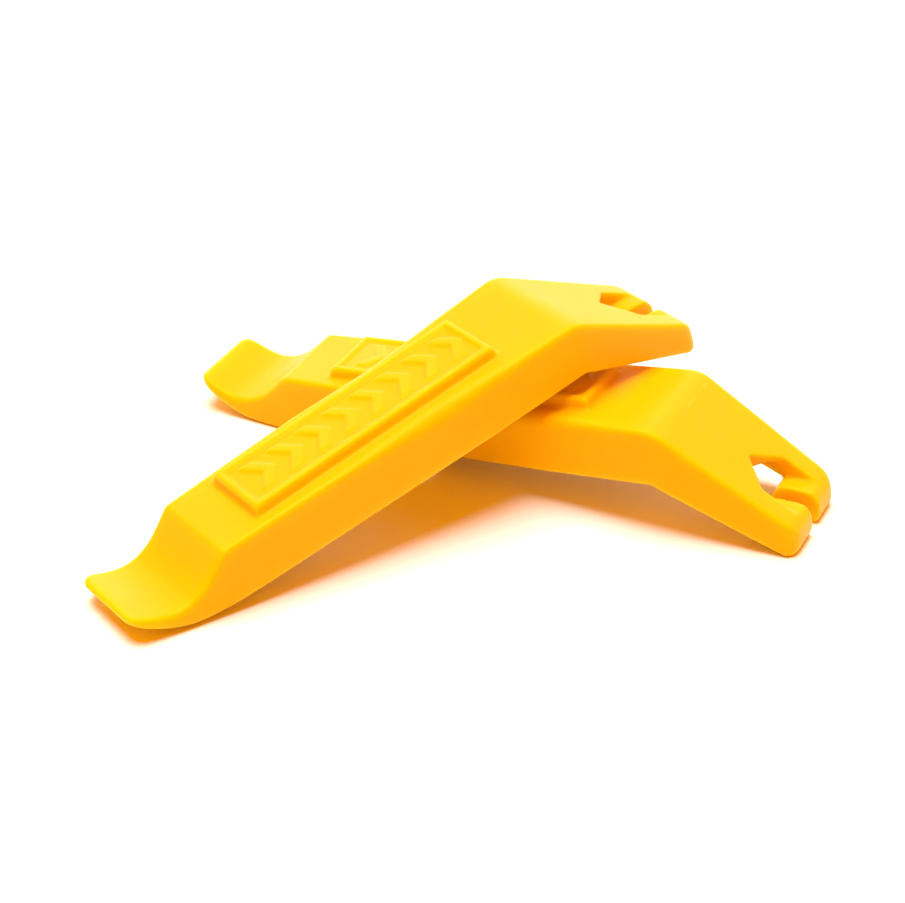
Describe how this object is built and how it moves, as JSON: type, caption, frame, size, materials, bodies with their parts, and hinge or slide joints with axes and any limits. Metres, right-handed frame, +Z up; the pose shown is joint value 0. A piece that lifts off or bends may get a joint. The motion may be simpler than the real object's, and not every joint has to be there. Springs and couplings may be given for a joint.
{
  "type": "bicycle tyre lever pair",
  "caption": "Moulded plastic bicycle tyre levers with a curved spoon, a raised grip plate and a bent, slotted fork end, one lying across the other.",
  "frame": {"origin": "on the floor under the middle of the pair's footprint", "axes": "+X across the pair toward both fork ends, +Y toward the back, +Z up"},
  "size_m": [0.1346, 0.0972, 0.0344],
  "materials": {
    "yellow_nylon": "satin"
  },
  "bodies": {
    "lower_lever": {"lower_lever": "yellow_nylon"},
    "upper_lever": {"upper_lever": "yellow_nylon"}
  },
  "joints": [
    {"name": "upper_lever_lift", "type": "slide", "parent": "lower_lever", "child": "upper_lever", "axis": [0, 0, 1], "range_m": [0, 0.06]}
  ]
}
